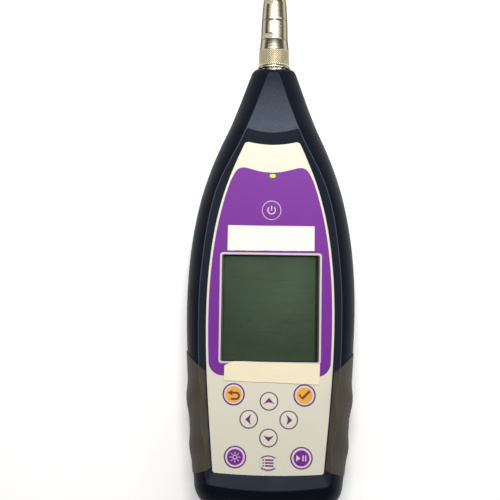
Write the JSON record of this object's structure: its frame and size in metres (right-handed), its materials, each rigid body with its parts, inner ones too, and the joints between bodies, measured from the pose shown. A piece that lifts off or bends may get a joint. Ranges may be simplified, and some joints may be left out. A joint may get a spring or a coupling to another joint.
{
  "type": "sound level meter",
  "caption": "Hand-held sound level meter with a tapered housing, membrane panel, display, rubber side grips and a pull-off preamplifier carrying a half-inch microphone.",
  "frame": {"origin": "mouth of the tripod thread, in the plane of the flat back", "axes": "+Z out of the display, +Y towards the microphone, +X to the right of someone reading the display"},
  "size_m": [0.0892, 0.2875, 0.0364],
  "materials": {
    "housing": "fine-textured satin plastic, dark navy",
    "grip": "matt soft rubber, warm grey",
    "overlay": "satin printed film, purple and off-white",
    "key_pale": "satin printed film, off-white with a purple arrow",
    "key_purple": "satin printed film, purple with a pale icon",
    "key_orange": "satin printed film, orange disc",
    "circuit": "clear-coated printed circuit film",
    "dome": "stainless spring sheet",
    "window": "clear acrylic",
    "lcd": "grey-green liquid crystal glass",
    "white": "white moulded plastic",
    "led": "yellow-green translucent plastic",
    "label": "blank off-white paper label",
    "tape": "cream crepe masking tape",
    "board": "green solder mask",
    "parts": "black electronic packages",
    "plated": "satin nickel plate",
    "steel": "zinc plated steel",
    "brass": "machined brass",
    "cell": "printed metal battery jacket",
    "black": "black moulded plastic",
    "gold": "gold plated contact"
  },
  "bodies": {
    "housing": {"front_shell": "housing", "rear_shell": "housing", "left_grip": "grip", "right_grip": "grip", "tripod_insert": "brass", "housing_screws": "steel", "panel_overlay": "overlay", "key_circuit": "circuit", "key_domes": "dome", "display_window": "window", "lcd_panel": "lcd", "lcd_backlight": "white", "led_lens": "led", "status_led": "white", "paper_label": "label", "masking_tape": "tape", "main_board": "board", "board_components": "parts", "board_screws": "steel", "battery_cells": "cell", "battery_springs": "steel", "battery_plates": "steel", "output_jack": "black", "usb_socket": "steel", "power_socket": "black", "preamp_socket": "plated", "socket_insulator": "black", "socket_contacts": "gold"},
    "battery_door": {"battery_door": "housing"},
    "key_power": {"key_power": "key_purple"},
    "key_back": {"key_back": "key_orange"},
    "key_ok": {"key_ok": "key_orange"},
    "key_up": {"key_up": "key_pale"},
    "key_down": {"key_down": "key_pale"},
    "key_left": {"key_left": "key_pale"},
    "key_right": {"key_right": "key_pale"},
    "key_backlight": {"key_backlight": "key_purple"},
    "key_run": {"key_run": "key_purple"},
    "key_menu": {"key_menu": "key_pale"},
    "preamplifier": {"preamp_plug": "plated", "plug_insulator": "black", "plug_pins": "gold", "preamp_tube": "plated", "preamp_cone": "plated", "preamp_board": "board"},
    "knurled_collar": {"knurled_collar": "plated"},
    "microphone": {"mic_cartridge": "plated", "mic_insulator": "white", "mic_backplate": "gold", "mic_diaphragm": "steel", "protection_grid": "plated"}
  },
  "joints": [
    {"name": "key_power_press", "type": "slide", "parent": "housing", "child": "key_power", "axis": [0, 0, -1], "range_m": [0, 0.0004], "stiffness_N_per_m": 800},
    {"name": "key_back_press", "type": "slide", "parent": "housing", "child": "key_back", "axis": [0, 0, -1], "range_m": [0, 0.0004], "stiffness_N_per_m": 800},
    {"name": "key_ok_press", "type": "slide", "parent": "housing", "child": "key_ok", "axis": [0, 0, -1], "range_m": [0, 0.0004], "stiffness_N_per_m": 800},
    {"name": "key_up_press", "type": "slide", "parent": "housing", "child": "key_up", "axis": [0, 0, -1], "range_m": [0, 0.0004], "stiffness_N_per_m": 800},
    {"name": "key_down_press", "type": "slide", "parent": "housing", "child": "key_down", "axis": [0, 0, -1], "range_m": [0, 0.0004], "stiffness_N_per_m": 800},
    {"name": "key_left_press", "type": "slide", "parent": "housing", "child": "key_left", "axis": [0, 0, -1], "range_m": [0, 0.0004], "stiffness_N_per_m": 800},
    {"name": "key_right_press", "type": "slide", "parent": "housing", "child": "key_right", "axis": [0, 0, -1], "range_m": [0, 0.0004], "stiffness_N_per_m": 800},
    {"name": "key_backlight_press", "type": "slide", "parent": "housing", "child": "key_backlight", "axis": [0, 0, -1], "range_m": [0, 0.0004], "stiffness_N_per_m": 800},
    {"name": "key_run_press", "type": "slide", "parent": "housing", "child": "key_run", "axis": [0, 0, -1], "range_m": [0, 0.0004], "stiffness_N_per_m": 800},
    {"name": "key_menu_press", "type": "slide", "parent": "housing", "child": "key_menu", "axis": [0, 0, -1], "range_m": [0, 0.0004], "stiffness_N_per_m": 800},
    {"name": "battery_door_hinge", "type": "hinge", "parent": "housing", "child": "battery_door", "pos_m": [0, -0.0249, 0], "axis": [1, 0, 0], "range_deg": [0, 100]},
    {"name": "preamplifier_pull", "type": "slide", "parent": "housing", "child": "preamplifier", "axis": [0, 1, 0], "range_m": [0, 0.03]},
    {"name": "knurled_collar_turn", "type": "hinge", "parent": "preamplifier", "child": "knurled_collar", "pos_m": [0, 0.127, 0.018], "axis": [0, 1, 0], "continuous": true},
    {"name": "microphone_pull", "type": "slide", "parent": "preamplifier", "child": "microphone", "axis": [0, 1, 0], "range_m": [0, 0.02]}
  ]
}
